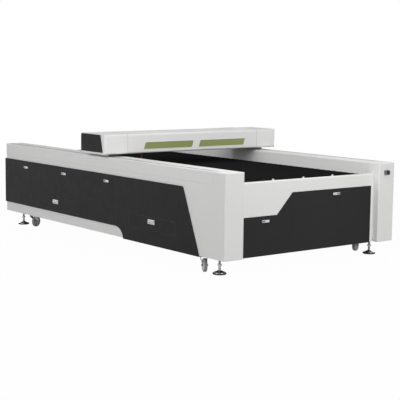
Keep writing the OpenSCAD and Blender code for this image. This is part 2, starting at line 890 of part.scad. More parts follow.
module gantry_saddles() {
  arm = 60;
  low = belt_z + belt_r + belt_t + slide_gap;
  base_z = block_z + saddle_t;
  color("#6d7176") both() {
    span(post_x0, post_x1, gantry_y - saddle_l / 2, gantry_y + saddle_l / 2, block_z, base_z);
    span(rail_x - neck_t / 2, rail_x + neck_t / 2, gantry_y - neck_l / 2, gantry_y + neck_l / 2, base_z,
      beam_z);
    span(slot_x0 - 32, beam_end - 5, beam_y, beam_y + beam_w, beam_z - saddle_t, beam_z);
    span(belt_x - belt_w / 2, post_x0 + cut, gantry_y - arm / 2, gantry_y + arm / 2, block_z, base_z);
    span(belt_x - belt_w / 2, belt_x + belt_w / 2, gantry_y - arm / 2, gantry_y + arm / 2, low, block_z + cut);
  }
}

module rail_blocks() {
  color(steel) both() for (y = [gantry_y - block_out, gantry_y + block_out]) difference() {
    span(rail_x - block_w / 2, rail_x + block_w / 2, y - block_l / 2, y + block_l / 2, deck_z + 4, block_z);
    span(rail_x - rail_w / 2 - slide_gap, rail_x + rail_w / 2 + slide_gap, y - block_l, y + block_l,
      deck_z, deck_z + rail_h + slide_gap);
  }
}

// Folded section of the gantry's covers
module gantry_section(grow) {
  round_rect(gantry_y0 - grow, gantry_z - grow, gantry_y1 + grow, gantry_top + grow, gantry_r + grow);
}

function window_outline(c) = let (z0 = window_z - window_h / 2, z1 = window_z + window_h / 2)
  [[c - window_l / 2 - window_lean / 2, z0], [c + window_l / 2 - window_lean / 2, z0],
   [c + window_l / 2 + window_lean / 2, z1], [c - window_l / 2 + window_lean / 2, z1]];

module gantry_cover() {
  x1 = gantry_seam - joint / 2;
  lid_x0 = gantry_seam * 0.7;
  slope = 30;
  color(white) {
    difference() {
      along_x(-x1, x1) gantry_section(0);
      along_x(-x1 - cut, x1 + cut) gantry_section(-sheet);
      span(-x1 - cut, x1 + cut, gantry_y0 + cover_return, gantry_y1 - cover_return, gantry_z - cut,
        gantry_z + sheet + cut);
      for (c = [-window_x, window_x]) along_y(gantry_y0 - cut, gantry_y0 + sheet + cut)
        polygon(window_outline(c + window_shift));
    }
    along_y(gantry_y - gantry_d * 0.2, gantry_y + gantry_d * 0.36) polygon([[lid_x0, gantry_top],
      [x1, gantry_top], [x1 - slope, gantry_top + lid_h], [lid_x0 + slope, gantry_top + lid_h]]);
  }
}

module gantry_windows() {
  pane = 3;
  overlap = 12;
  color("#7f8a50") for (c = [-window_x, window_x]) along_y(gantry_y0 + sheet, gantry_y0 + sheet + pane)
    polygon(inset(window_outline(c + window_shift), -overlap));
}

// End cap: the folded section with a rounded upright edge at its front corner
module cap_body(grow) {
  x1 = gantry_x - end_panel_t + grow;
  r = 24 + grow;
  intersection() {
    along_x(gantry_seam + joint / 2 - max(0, -2 * grow), x1) gantry_section(grow);
    translate([0, 0, gantry_z - gantry_r]) linear_extrude(gantry_h + 2 * gantry_r) {
      round_rect(gantry_seam - 2 * r, gantry_y0 - grow, x1, gantry_y1 + 3 * r, r);
    }
  }
}

module gantry_end_caps() {
  color(white) both() difference() {
    cap_body(0);
    cap_body(-sheet);
    span(gantry_seam - cut, gantry_x - cover_return, gantry_y0 + cover_return, gantry_y1 - cover_return,
      gantry_z - cut, gantry_z + sheet + cut);
  }
}

module gantry_end_panels() {
  front_top = 68;
  front_low = 30;
  margin = 5;
  low = 16;
  color(black) both() along_x(gantry_x - end_panel_t, gantry_x) polygon([
    [gantry_y0 + front_low, gantry_z + low], [gantry_y1 - 2, gantry_z + low],
    [gantry_y1 - 2, gantry_top - margin - gantry_r / 2],
    [gantry_y1 - gantry_r / 2, gantry_top - margin], [gantry_y0 + front_top, gantry_top - margin]]);
}

// Sealed glass laser tube with its metal ends
module laser_tube() {
  cap_l = 30;
  lead_r = 14;
  lead_l = 20;
  color("#c8d4d6") translate([-tube_l / 2, tube_y, tube_z]) rotate([0, 90, 0]) {
    cylinder(r = tube_r, h = tube_l);
    translate([0, 0, -cap_l]) cylinder(r = tube_r * 0.75, h = tube_l + 2 * cap_l);
    translate([0, 0, -cap_l - lead_l]) cylinder(r = lead_r, h = tube_l + 2 * cap_l + 2 * lead_l);
  }
}

module x_rail() {
  color(silver) span(-x_rail_end, x_rail_end, beam_y - x_rail_t, beam_y, x_rail_z, x_rail_z + x_rail_h);
}

x_belt_z = x_rail_z + x_rail_h + 27;

// Cross drive: idler housing, motor with its housing, and the two runs of the belt
module x_belt_drive() {
  house_w = 60;
  house_d = 50;
  house_rim = 13;
  motor_h = 46;
  x0 = x_rail_end + 5;
  run_y = beam_y - 22;
  run_w = 10;
  run_t = 1.5;
  run_gap = 14;
  house_top = x_belt_z + run_gap + house_rim;
  color("#2f3134") {
    span(-x0 - house_w, -x0, beam_y - house_d, beam_y, x_belt_z - house_rim, house_top);
    span(x0, x0 + house_w, beam_y - house_d, beam_y, x_belt_z - house_rim, house_top + motor_h);
    for (z = [x_belt_z, x_belt_z + run_gap]) span(-x0 - cut, x0 + cut, run_y, run_y + run_w, z, z + run_t);
  }
}

module head_carriage() {
  half = 50;
  arm = 30;
  plate_y = beam_y - x_rail_t - slide_gap;
  block_y = plate_y - 14;
  depth = 74;
  chamfer = 34;
  head_low = x_rail_z - 35;
  bore_top = head_top - 40;
  color(steel) translate([head_x, 0, 0]) {
    span(-half, half, block_y, plate_y, x_rail_z - 20, x_rail_z + x_rail_h + 17);
    span(-half, half, plate_y - cut, beam_y - 2, x_rail_z - 12, x_rail_z - slide_gap);
    span(-half, half, plate_y - cut, beam_y - 2, x_rail_z + x_rail_h + slide_gap, x_rail_z + x_rail_h + 12);
    difference() {
      along_x(-arm, arm) polygon([[block_y, head_low], [block_y, head_top],
        [block_y - depth + chamfer, head_top], [block_y - depth, head_top - chamfer],
        [block_y - depth, head_low]]);
      translate([0, head_y, head_low - cut]) cylinder(r = lens_r + pin_gap, h = bore_top - head_low + cut);
    }
  }
}

// Lens tube with its adjusting ring and nozzle
module lens_tube() {
  cone_h = 40;
  tip_r = 3;
  ring_h = 14;
  color("#a02c34") translate([head_x, head_y, 0]) {
    translate([0, 0, nozzle_z]) cylinder(r1 = tip_r, r2 = lens_r, h = cone_h);
    translate([0, 0, nozzle_z + cone_h]) cylinder(r = lens_r, h = head_top - 60 - nozzle_z - cone_h);
    translate([0, 0, nozzle_z + cone_h + 20]) cylinder(r = lens_r + 4, h = ring_h);
  }
}

// Levelling foot: rubber-rimmed pad, dished cap, stem and lock nut
module foot(sx, sy) {
  rim_h = 10;
  cap_h = 22;
  nut_z = 70;
  nut_h = 14;
  color(steel) translate([sx * foot_x, sy * foot_y, 0]) {
    rotate_extrude() polygon([[0, 0], [pad_r - 3, 0], [pad_r, 3], [pad_r, rim_h - 2], [pad_r - 5, rim_h],
      [pad_r * 0.72, rim_h + cap_h * 0.4], [stem_r + 9, rim_h + cap_h], [0, rim_h + cap_h]]);
    cylinder(r = stem_r, h = bottom_z - 10);
    translate([0, 0, nut_z]) cylinder(r = stem_r + 9, h = nut_h, $fn = 6);
  }
}

module foot_front_left() {
  foot(-1, -1);
}

module foot_front_right() {
  foot(1, -1);
}

module foot_rear_left() {
  foot(-1, 1);
}

module foot_rear_right() {
  foot(1, 1);
}

module castor_plates() {
  color(steel) for (x = [-castor_x, castor_x], y = castor_rows) translate([x, y, 0]) difference() {
    union() {
      span(-37, 37, -46, 46, frame_z - plate_t, frame_z);
      translate([0, 0, race_z]) cylinder(r = 30, h = race_t);
    }
    translate([0, 0, race_z - cut]) cylinder(r = king_r + pin_gap, h = race_t + plate_t + 2 * cut);
  }
}

// Places a castor's piece at its own corner and turn
module at_castor(sx, sy, i) {
  translate([sx * castor_x, castor_rows[sy > 0 ? 1 : 0], 0]) rotate([0, 0, castor_turn[i]]) children();
}

module castor_fork(sx, sy, i) {
  crown_r = 30;
  crown_z = race_z - slide_gap - crown_t;
  leg_y = wheel_w / 2 + 2;
  boss_r = 13;
  color(silver) at_castor(sx, sy, i) {
    translate([0, 0, crown_z]) cylinder(r = crown_r, h = crown_t);
    translate([0, 0, crown_z]) cylinder(r = king_r, h = frame_z - slide_gap - crown_z);
    span(-20, trail, -leg_y - leg_t, leg_y + leg_t, crown_z, crown_z + crown_t - 2);
    for (y = [-leg_y - leg_t, leg_y]) along_y(y, y + leg_t) {
      polygon([[-20, crown_z + 1], [trail, crown_z + 1], [trail + boss_r, axle_z], [trail - boss_r, axle_z]]);
      translate([trail, axle_z]) circle(boss_r);
    }
    translate([trail, leg_y + leg_t + 3, axle_z]) rotate([90, 0, 0])
      cylinder(r = axle_r, h = 2 * (leg_y + leg_t + 3));
  }
}

module castor_wheel(sx, sy, i) {
  hub_r = 16;
  disc_w = wheel_w - 14;
  tyre = 14;
  color("#7a7c7e") at_castor(sx, sy, i) translate([trail, 0, axle_z]) rotate([90, 0, 0]) rotate_extrude()
    polygon([[axle_r + pin_gap, -wheel_w / 2], [hub_r, -wheel_w / 2], [hub_r, -disc_w / 2],
      [wheel_r - tyre, -disc_w / 2], [wheel_r - tyre, -wheel_w / 2 + 2], [wheel_r - 5, -wheel_w / 2 + 2],
      [wheel_r, -wheel_w / 4], [wheel_r, wheel_w / 4], [wheel_r - 5, wheel_w / 2 - 2],
      [wheel_r - tyre, wheel_w / 2 - 2], [wheel_r - tyre, disc_w / 2], [hub_r, disc_w / 2],
      [hub_r, wheel_w / 2], [axle_r + pin_gap, wheel_w / 2]]);
}

module castor_fork_front_left() {
  castor_fork(-1, -1, 0);
}

module castor_fork_front_right() {
  castor_fork(1, -1, 1);
}

module castor_fork_rear_left() {
  castor_fork(-1, 1, 2);
}

module castor_fork_rear_right() {
  castor_fork(1, 1, 3);
}

module castor_wheel_front_left() {
  castor_wheel(-1, -1, 0);
}

module castor_wheel_front_right() {
  castor_wheel(1, -1, 1);
}

module castor_wheel_rear_left() {
  castor_wheel(-1, 1, 2);
}

module castor_wheel_rear_right() {
  castor_wheel(1, 1, 3);
}

base_frame();
left_side_shell();
right_side_shell();
rail_covers();
left_front_panel();
right_side_panel();
front_fascia();
rear_fascia();
rear_panel();
bed_combs();
knife_slats();
scrap_hopper();
ball_transfers();
drawer_runners();
castor_plates();
y_rails();
y_belts();
y_motor();
belt_brackets();
switch_plate();
exhaust_spigot();
electrics();
gantry_beam();
gantry_saddles();
rail_blocks();
gantry_cover();
gantry_windows();
gantry_end_caps();
gantry_end_panels();
laser_tube();
x_rail();
x_belt_drive();
head_carriage();
lens_tube();
left_access_panel();
left_latch_1();
left_latch_2();
left_latch_3();
front_access_panel();
front_latch_1();
front_latch_2();
rear_drawer();
rear_drawer_pull();
front_drawer();
front_drawer_pull();
foot_front_left();
foot_front_right();
foot_rear_left();
foot_rear_right();
castor_fork_front_left();
castor_fork_front_right();
castor_fork_rear_left();
castor_fork_rear_right();
castor_wheel_front_left();
castor_wheel_front_right();
castor_wheel_rear_left();
castor_wheel_rear_right();
switch_knob();
drive_shaft();
belt_idlers();
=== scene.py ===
"""Looks of a flatbed laser cutter: powder-coated housings, black panels, slat bed and gantry."""
import json
import math

import bmesh
import bpy
import numpy as np
from mathutils import Matrix, Vector


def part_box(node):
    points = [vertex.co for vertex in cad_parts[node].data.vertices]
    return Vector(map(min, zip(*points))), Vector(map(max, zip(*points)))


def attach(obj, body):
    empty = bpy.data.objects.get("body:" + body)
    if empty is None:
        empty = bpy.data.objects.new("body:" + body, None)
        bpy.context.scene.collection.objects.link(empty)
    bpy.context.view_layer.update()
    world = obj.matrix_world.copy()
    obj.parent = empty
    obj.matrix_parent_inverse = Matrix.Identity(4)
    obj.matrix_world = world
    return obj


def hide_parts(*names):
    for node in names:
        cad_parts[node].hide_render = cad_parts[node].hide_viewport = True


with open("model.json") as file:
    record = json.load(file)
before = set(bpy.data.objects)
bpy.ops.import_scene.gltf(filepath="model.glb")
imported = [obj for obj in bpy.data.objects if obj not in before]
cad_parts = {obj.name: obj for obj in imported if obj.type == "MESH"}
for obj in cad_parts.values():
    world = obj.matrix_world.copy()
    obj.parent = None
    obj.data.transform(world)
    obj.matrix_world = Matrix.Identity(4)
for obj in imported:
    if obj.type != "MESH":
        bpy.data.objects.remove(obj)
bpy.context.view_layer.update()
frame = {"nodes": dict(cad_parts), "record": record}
joints = {joint["child"]: joint for joint in frame["record"]["behaviour"]["joints"]}
MM = 0.001
WHITE = [1, 1, 1, 1]
# Sockets of a colour mix: its share, its two colours and its result
SHARE, FIRST, SECOND, MIXED = 0, 6, 7, 2
# The part of its range that a noise really fills, for a map to a range of gloss
NOISE_SPAN = {"From Min": 0.3, "From Max": 0.7}


def linear(code):
    """Linear colour of an sRGB hex value."""
    srgb = [int(code[i:i + 2], 16) / 255 for i in (1, 3, 5)]
    return [c / 12.92 if c <= 0.04045 else ((c + 0.055) / 1.055) ** 2.4 for c in srgb] + [1.0]


def add(tree, kind, inputs=(), **settings):
    """One node with its settings; an input that is a socket is linked, other values are set."""
    node = tree.nodes.new("ShaderNode" + kind)
    for name, value in settings.items():
        setattr(node, name, value)
    for name, value in dict(inputs).items():
        if isinstance(value, bpy.types.NodeSocket):
            tree.links.new(value, node.inputs[name])
        else:
            node.inputs[name].default_value = value
    return node


def blank(name):
    """A material with an empty node tree, its tree and the piece's own coordinates in metres."""
    material = bpy.data.materials.new(name)
    material.use_nodes = True
    tree = material.node_tree
    tree.nodes.clear()
    return material, tree, add(tree, "TexCoord").outputs["Object"]


def powder_coat(name, light, dark, edge, rough, peel_mm, peel, edge_mm=2.5, shine=0.5):
    """Baked polyester powder on folded sheet: even colour, a fine orange-peel skin, a painted
    highlight on the folds.

    The peel is about 1 mm on the real sheet and is drawn coarser so that it shows."""
    cloud_mm, dust_mm, peel_depth_mm = 550, 60, 0.3
    material, tree, place = blank(name)
    cloud = add(tree, "TexNoise", {"Vector": place, "Scale": 1 / (cloud_mm * MM), "Detail": 3.0,
                                   "Roughness": 0.55})
    tint = add(tree, "Mix", {SHARE: cloud.outputs["Fac"], FIRST: linear(dark),
                             SECOND: linear(light)}, data_type="RGBA")
    dust = add(tree, "TexNoise", {"Vector": place, "Scale": 1 / (dust_mm * MM), "Detail": 4.0})
    gloss = add(tree, "MapRange", {"Value": dust.outputs["Fac"], **NOISE_SPAN,
                                   "To Min": rough - 0.05, "To Max": rough + 0.06})
    skin = add(tree, "TexNoise", {"Vector": place, "Scale": 1 / (peel_mm * MM), "Detail": 2.0})
    fold = add(tree, "Bevel", {"Radius": edge_mm * MM}, samples=6)
    face = add(tree, "NewGeometry")
    bend = add(tree, "VectorMath", {0: fold.outputs["Normal"], 1: face.outputs["Normal"]},
               operation="DOT_PRODUCT")
    # Painted highlight: the colour turns lighter where the rounded normal leans away from the face,
    # on every fold and edge
    edge_highlight_share = add(tree, "MapRange", {"Value": bend.outputs["Value"], "From Min": 0.75,
                                 "From Max": 0.99, "To Min": 0.8, "To Max": 0.0})
    tint = add(tree, "Mix", {SHARE: edge_highlight_share.outputs["Result"], FIRST: tint.outputs[MIXED],
                             SECOND: linear(edge)}, data_type="RGBA")
    bump = add(tree, "Bump", {"Height": skin.outputs["Fac"], "Strength": peel,
                              "Distance": peel_depth_mm * MM, "Normal": fold.outputs["Normal"]})
    coat = add(tree, "BsdfPrincipled", {"Base Color": tint.outputs[MIXED],
                                        "Roughness": gloss.outputs["Result"],
                                        "Specular IOR Level": shine,
                                        "Normal": bump.outputs["Normal"]})
    add(tree, "OutputMaterial", {"Surface": coat.outputs["BSDF"]})
    return material


def drawn_metal(name, light, dark, rough, line_mm, along, metallic=1.0, shine=0.5):
    """Rolled, ground or plated metal: fine lines along one direction vary its colour and gloss.

    The lines are a few tenths of a millimetre on the real metal and are drawn coarser so that
    they show."""
    line_length, line_depth_mm, spot_mm, fold_mm = 60.0, 0.2, 50, 1.0
    material, tree, place = blank(name)
    stretch = [1 / line_length if axis == along else 1.0 for axis in "XYZ"]
    lay = add(tree, "Mapping", {"Vector": place, "Scale": stretch})
    lines = add(tree, "TexNoise", {"Vector": lay.outputs["Vector"], "Scale": 1 / (line_mm * MM),
                                   "Detail": 3.0})
    spots = add(tree, "TexNoise", {"Vector": place, "Scale": 1 / (spot_mm * MM), "Detail": 3.0})
    mixed = add(tree, "Math", {0: lines.outputs["Fac"], 1: spots.outputs["Fac"]},
                operation="MULTIPLY")
    tint = add(tree, "Mix", {SHARE: mixed.outputs["Value"], FIRST: linear(dark),
                             SECOND: linear(light)}, data_type="RGBA")
    gloss = add(tree, "MapRange", {"Value": lines.outputs["Fac"], **NOISE_SPAN,
                                   "To Min": rough - 0.06, "To Max": rough + 0.08})
    fold = add(tree, "Bevel", {"Radius": fold_mm * MM}, samples=4)
    bump = add(tree, "Bump", {"Height": lines.outputs["Fac"], "Strength": 0.12,
                              "Distance": line_depth_mm * MM, "Normal": fold.outputs["Normal"]})
    metal = add(tree, "BsdfPrincipled", {"Base Color": tint.outputs[MIXED], "Metallic": metallic,
                                         "Roughness": gloss.outputs["Result"],
                                         "Specular IOR Level": shine,
                                         "Normal": bump.outputs["Normal"]})
    add(tree, "OutputMaterial", {"Surface": metal.outputs["BSDF"]})
    return material


def moulded(name, light, dark, rough, grain_mm, grain):
    """Moulded plastic or rubber: a fine spark-eroded grain with slightly uneven gloss.

    The grain is under half a millimetre on the real one and is drawn coarser so that it shows."""
    cloud_mm, grain_depth_mm = 30, 0.2
    material, tree, place = blank(name)
    pits = add(tree, "TexVoronoi", {"Vector": place, "Scale": 1 / (grain_mm * MM)})
    cloud = add(tree, "TexNoise", {"Vector": place, "Scale": 1 / (cloud_mm * MM), "Detail": 3.0})
    tint = add(tree, "Mix", {SHARE: cloud.outputs["Fac"], FIRST: linear(dark),
                             SECOND: linear(light)}, data_type="RGBA")
    gloss = add(tree, "MapRange", {"Value": cloud.outputs["Fac"], **NOISE_SPAN,
                                   "To Min": rough - 0.06, "To Max": rough + 0.06})
    bump = add(tree, "Bump", {"Height": pits.outputs["Distance"], "Strength": grain,
                              "Distance": grain_depth_mm * MM})
    skin = add(tree, "BsdfPrincipled", {"Base Color": tint.outputs[MIXED],
                                        "Roughness": gloss.outputs["Result"],
                                        "Normal": bump.outputs["Normal"]})
    add(tree, "OutputMaterial", {"Surface": skin.outputs["BSDF"]})
    return material


def tinted_acrylic():
    """Cast acrylic in olive green, polished: deep even colour, sharp gloss, faint cast streaks."""
    streak_mm, streak_length, acrylic_ior = 200, 8.0, 1.49
    material, tree, place = blank("olive_acrylic")
    streak = add(tree, "Mapping", {"Vector": place, "Scale": [1.0, streak_length, streak_length]})
    haze = add(tree, "TexNoise", {"Vector": streak.outputs["Vector"],
                                  "Scale": 1 / (streak_mm * MM), "Detail": 3.0})
    tint = add(tree, "Mix", {SHARE: haze.outputs["Fac"], FIRST: linear("#7f8a4c"),
                             SECOND: linear("#909b5c")}, data_type="RGBA")
    gloss = add(tree, "MapRange", {"Value": haze.outputs["Fac"], "To Min": 0.08, "To Max": 0.2})
    pane = add(tree, "BsdfPrincipled", {"Base Color": tint.outputs[MIXED],
                                        "Roughness": gloss.outputs["Result"],
                                        "IOR": acrylic_ior})
    add(tree, "OutputMaterial", {"Surface": pane.outputs["BSDF"]})
    return material


def tube_glass():
    """Borosilicate glass of the laser tube: clear with a faint green cast, drawn lengthwise."""
    draw_mm, draw_length, draw_depth_mm, glass_ior = 12, 50.0, 0.5, 1.47
    material, tree, place = blank("borosilicate_glass")
    lay = add(tree, "Mapping", {"Vector": place, "Scale": [1 / draw_length, 1.0, 1.0]})
    draw = add(tree, "TexNoise", {"Vector": lay.outputs["Vector"], "Scale": 1 / (draw_mm * MM),
                                  "Detail": 2.0})
    tint = add(tree, "Mix", {SHARE: draw.outputs["Fac"], FIRST: linear("#dfeae8"),
                             SECOND: linear("#f4fbfa")}, data_type="RGBA")
    bump = add(tree, "Bump", {"Height": draw.outputs["Fac"], "Strength": 0.05,
                              "Distance": draw_depth_mm * MM})
    glass = add(tree, "BsdfPrincipled", {"Base Color": tint.outputs[MIXED], "Roughness": 0.03,
                                         "IOR": glass_ior, "Transmission Weight": 0.9,
                                         "Normal": bump.outputs["Normal"]})
    add(tree, "OutputMaterial", {"Surface": glass.outputs["BSDF"]})
    return material


# One finish for each material slot of the record, then those of single pieces
finishes = {
    # The third colour of each powder coat is the painted highlight on its edges and folds
    "white_paint": powder_coat("white_powder_coat", "#e7e7e6", "#e1e1e0", "#efefee", rough=0.48,
                               peel_mm=3.0, peel=0.10, shine=0.28),
    "black_paint": powder_coat("black_powder_coat", "#2c2c2d", "#272728", "#69696a", rough=0.58,
                               peel_mm=2.5, peel=0.25, edge_mm=4.0, shine=0.08),
    "frame_paint": powder_coat("grey_frame_paint", "#3a3c3f", "#2e3033", "#55585c", rough=0.55,
                               peel_mm=4.0, peel=0.15, shine=0.3),
    "motor_black": powder_coat("motor_enamel", "#303235", "#25272a", "#505357", rough=0.4,
                               peel_mm=3.0, peel=0.15),
    "case_grey": powder_coat("case_enamel", "#b6b8ba", "#a9abad", "#cfd1d3", rough=0.45,
                             peel_mm=3.0, peel=0.15),
    "dark_steel": drawn_metal("blackened_slat_steel", "#161617", "#09090a", rough=0.72,
                              line_mm=2.0, along="X", metallic=0.0, shine=0.15),
    "zinc": drawn_metal("zinc_plate", "#c3c6c9", "#8d9093", rough=0.38, line_mm=2.0, along="Y"),
    "bright_metal": drawn_metal("satin_chrome", "#e6e7e8", "#b9bbbd", rough=0.26,
                                line_mm=1.0, along="Y"),
    "aluminium": drawn_metal("anodised_aluminium", "#c9cbcd", "#9da0a3", rough=0.36,
                             line_mm=1.5, along="X"),
    "red_anodised": drawn_metal("red_anodised_aluminium", "#9c3d4c", "#6e212c", rough=0.32,
                                line_mm=1.0, along="Z", metallic=0.7),
    "fork_zinc": drawn_metal("pressed_zinc_steel", "#a9abad", "#808386", rough=0.36,
                             line_mm=1.5, along="Z"),
    "belt": moulded("black_rubber", "#242425", "#161617", rough=0.6, grain_mm=1.5, grain=0.3),
    "switch_grey": moulded("switch_abs", "#6c6e71", "#626467", rough=0.45,
                           grain_mm=1.2, grain=0.2),
    "switch_black": moulded("knob_nylon", "#37383a", "#2d2e30", rough=0.4,
                            grain_mm=1.2, grain=0.2),
    "tinted_acrylic": tinted_acrylic(),
    "tube_glass": tube_glass(),
    "foot_steel": drawn_metal("turned_foot_steel", "#e0e2e4", "#b4b7ba", rough=0.4,
                              line_mm=1.0, along="Z", metallic=0.4),
    "wheel_grey": moulded("castor_tread", "#9c9ea1", "#87898c", rough=0.5,
                          grain_mm=1.2, grain=0.2),
}
latch_zinc = drawn_metal("die_cast_latch_zinc", "#d9dadc", "#b8babd", rough=0.42,
                         line_mm=1.0, along="Y")
grip_nylon = moulded("latch_grip_nylon", "#8d9093", "#7e8184", rough=0.45,
                     grain_mm=1.2, grain=0.2)
foot_chrome = drawn_metal("foot_cap_chrome", "#bfc1c3", "#97999b", rough=0.24,
                          line_mm=1.0, along="Z")
disc_nylon = moulded("castor_disc_nylon", "#d8dadc", "#c9cbcd", rough=0.45,
                     grain_mm=1.0, grain=0.15)
ball_nylon = moulded("loading_ball_nylon", "#f2f2f0", "#e6e6e4", rough=0.3,
                     grain_mm=0.8, grain=0.05)
for part in frame["record"]["subparts"]:
    node = part["node"]
    mesh = frame["nodes"][node].data
    mesh.materials.clear()
    mesh.materials.append(latch_zinc if "latch" in node else finishes[part["material_slot"]])


def stand(name, data):
    """A new object with this data, linked into the scene."""
    made = bpy.data.objects.new(name, data)
    bpy.context.scene.collection.objects.link(made)
    return made


def box(node):
    """Lowest and highest corner of a node's box."""
    return [np.array(corner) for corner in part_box(node)]


def middle(node):
    """Middle of a node's box."""
    low, high = box(node)
    return (low + high) / 2


def sheet_faces(rows, columns, start, close_rows):
    """Quads of a grid whose columns close round; with close_rows the last row joins the first."""
    row = np.arange(rows if close_rows else rows - 1)[:, None]
    column = np.arange(columns)[None, :]
    below, after = (row + 1) % rows, (column + 1) % columns
    quad = [row * columns + column, row * columns + after,
            below * columns + after, below * columns + column]
    return np.stack(quad, -1).reshape(-1, 4) + start


def piece(name, grids, slot, body, stands_for=(), finish=None, close_rows=True, crease=32):
    """One piece from grids of points, each rows x columns x 3, merged at poles, turned outwards.

    It takes its slot's finish where no other is given; edges over crease degrees are sharp."""
    points, faces, start = [], [], 0
    for grid in grids:
        rows, columns = grid.shape[:2]
        points.append(grid.reshape(-1, 3))
        faces.append(sheet_faces(rows, columns, start, close_rows))
        start += rows * columns
    mesh = bpy.data.meshes.new(name)
    mesh.from_pydata(np.concatenate(points).tolist(), [], np.concatenate(faces).tolist())
    shape = bmesh.new()
    shape.from_mesh(mesh)
    bmesh.ops.remove_doubles(shape, verts=shape.verts, dist=1e-6)
    bmesh.ops.recalc_face_normals(shape, faces=shape.faces)
    shape.to_mesh(mesh)
    shape.free()
    mesh.shade_smooth()
    mesh.set_sharp_from_angle(angle=math.radians(crease))
    mesh.materials.append(finish or finishes[slot])
    made = stand(name, mesh)
    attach(made, body)
    if stands_for:
        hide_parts(*stands_for)


def turned(profile, centre, axis=(0, 0, 1), steps=48, swell=None):
    """Turned shape: each (radius, height) of the profile in mm goes round the axis at centre.

    A point is centre + height * axis + radius * (cos t * side + sin t * cross). swell, where
    given, takes the grids of angle, radius and height and returns new radius and height."""
    axis = np.array(axis, float) / np.linalg.norm(axis)
    side = np.cross(axis, (0, 0, 1) if abs(axis[2]) < 0.9 else (1, 0, 0))
    side /= np.linalg.norm(side)
    cross = np.cross(axis, side)
    angle = np.linspace(0, 2 * np.pi, steps, endpoint=False)[None, :]
    radius, height = (np.array(profile, float)[:, i, None] + 0 * angle for i in (0, 1))
    if swell:
        radius, height = swell(angle, radius, height)
    spoke = np.cos(angle)[..., None] * side + np.sin(angle)[..., None] * cross
    return np.array(centre) + MM * (height[..., None] * axis + radius[..., None] * spoke)


# Levelling feet: rubber ring, domed cap, threaded stem and lock nut, in mm
corners = ["front_left", "front_right", "rear_left", "rear_right"]
rubber_ring = [(30, 0), (54, 0), (57, 2), (58, 6), (57.4, 10.2), (55.5, 13), (52.5, 14), (50, 13),
               (49, 10.8), (30, 10.8)]
domed_cap = [(0, 11), (48.6, 11), (49.2, 13.5), (48.2, 16.5), (45, 19.2), (38, 22.2), (29, 25.4),
             (22, 28.2), (18.5, 31), (17.5, 32), (0, 32)]
STEM_R, STEM_FROM, STEM_TO, STEM_ROWS = 11.0, 31, 141, 177
THREAD_PITCH, THREAD_DEPTH, NUT_FLATS = 5.0, 1.1, 17.3
stem_profile = [(STEM_R, z) for z in np.linspace(STEM_FROM, STEM_TO, STEM_ROWS)]
nut_profile = [(9, 70), (17, 70), (20, 72), (20, 82), (17, 84), (9, 84)]


def screw_thread(angle, radius, height):
    """Thread: the radius falls and rises once per pitch; the wave climbs one pitch per turn."""
    phase = (height / THREAD_PITCH - angle / (2 * np.pi)) % 1
    return radius - THREAD_DEPTH * np.abs(2 * phase - 1), height


def hexagon(angle, radius, height):
    """Hexagon nut: the radius is at most the flats' distance over the cosine from the flat."""
    from_flat = (angle + np.pi / 6) % (np.pi / 3) - np.pi / 6
    return np.minimum(radius, NUT_FLATS / np.cos(from_flat)), height


for corner in corners:
    foot = "foot_" + corner
    centre = middle(foot) * (1, 1, 0)
    piece(foot + "_rubber", [turned(rubber_ring, centre)], "belt", foot, [foot])
    piece(foot + "_cap", [turned(domed_cap, centre)], "foot_steel", foot, [foot],
          finish=foot_chrome, close_rows=False)
    piece(foot + "_stem", [turned(stem_profile, centre, steps=28, swell=screw_thread)],
          "foot_steel", foot, [foot], finish=finishes["fork_zinc"], close_rows=False, crease=80)
    piece(foot + "_nut", [turned(nut_profile, centre, steps=72, swell=hexagon)],
          "foot_steel", foot, [foot], finish=foot_chrome)

# Castor wheels: a rubber tyre on a ribbed nylon disc, in mm; the disc has thirds for its ribs
tyre = [(43, -14), (51, -14), (54.5, -12.6), (56.4, -9.5), (57, -6), (57, 6), (56.4, 9.5),
        (54.5, 12.6), (51, 14), (43, 14)]
disc = np.array([(5.1, -16), (14.5, -16), (16, -14.5), (17, -9), (41, -9), (42.9, -12),
                 (42.9, 12), (41, 9), (17, 9), (16, 14.5), (14.5, 16), (5.1, 16)])
thirds = np.linspace(0, len(disc) - 1, 3 * len(disc) - 2)
disc = np.stack([np.interp(thirds, np.arange(len(disc)), disc[:, i]) for i in (0, 1)], -1)
RIBS, RIB_RISE, RIB_FROM, RIB_TO, RIB_SHARPNESS = 6, 4.0, 18, 40, 6


def ribbed(angle, radius, height):
    """Ribs: between hub and rim the disc thickens where the cosine of ribs x angle nears one."""
    web = (radius > RIB_FROM) & (radius < RIB_TO)
    crest = np.clip(np.cos(RIBS * angle), 0, 1) ** RIB_SHARPNESS
    return radius, height + web * np.sign(height) * RIB_RISE * crest


for corner in corners:
    wheel, node = "wheel_" + corner, "castor_wheel_" + corner
    centre, axle = middle(node), joints[wheel]["axis"]
    piece("tyre_" + corner, [turned(tyre, centre, axle, 64)], "wheel_grey", wheel, [node])
    piece("disc_" + corner, [turned(disc, centre, axle, 96, ribbed)], "wheel_grey", wheel, [node],
          finish=disc_nylon)

# Castor forks: a pressed crown on its king pin, two flared cheeks, the axle with its nuts, in mm
CROWN_Z, CROWN_TOP, PIN_TOP, AXLE_Z, TRAIL = 123.7, 129.7, 141.7, 60.0, 45.0
CHEEK_HALF, CHEEK_IN, CHEEK_T, CHEEK_UP, FLARE, BOSS_R = 22.0, 18.0, 3.0, 0.5, 11.0, 13.0
crown = [(0, CROWN_Z), (35, CROWN_Z), (38, CROWN_Z + 1.2), (39, CROWN_Z + 3), (38, CROWN_Z + 4.8),
         (35, CROWN_TOP), (8, CROWN_TOP), (8, PIN_TOP), (0, PIN_TOP)]
half_axle = [(0, 30), (4.4, 30), (5, 29.4), (5, 27), (8.5, 26.6), (8.5, 21.4), (5, 21.2)]
axle_bolt = half_axle + [(r, -h) for r, h in reversed(half_axle)]


